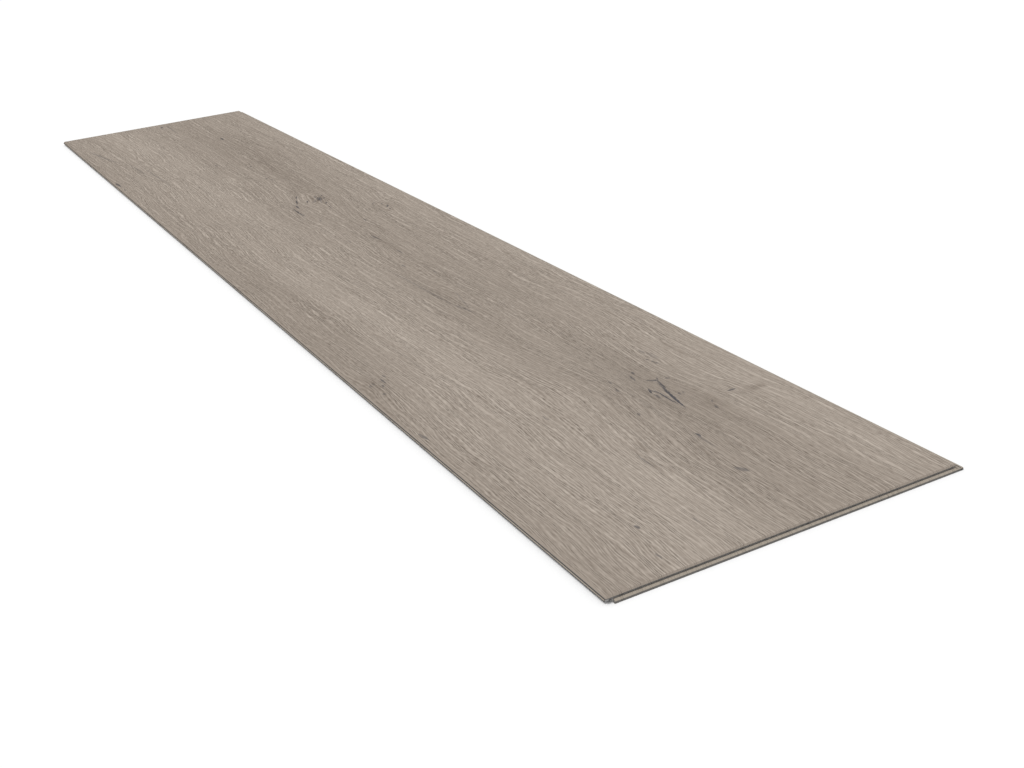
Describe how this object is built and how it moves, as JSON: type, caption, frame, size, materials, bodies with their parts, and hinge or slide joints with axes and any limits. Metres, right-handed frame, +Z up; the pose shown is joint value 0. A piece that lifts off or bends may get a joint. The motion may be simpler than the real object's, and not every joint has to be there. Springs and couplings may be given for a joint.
{
  "type": "vinyl floor plank",
  "caption": "Click-lock vinyl floor plank with a pressed greige oak surface, bevelled face edges, and tongue and groove edges that lock like planks into a floating floor.",
  "frame": {"origin": "middle of the covered face, taken down to the underside that lies on the subfloor", "axes": "+X along the plank towards its tongue end, +Y across towards its tongue side, +Z up out of the printed face"},
  "size_m": [1.2123, 0.2243, 0.004],
  "materials": {
    "printed_vinyl": "matt greige oak print with a pressed wood grain, dark grey on the milled upright edges"
  },
  "bodies": {
    "root": {"plank": "printed_vinyl"}
  },
  "joints": []
}
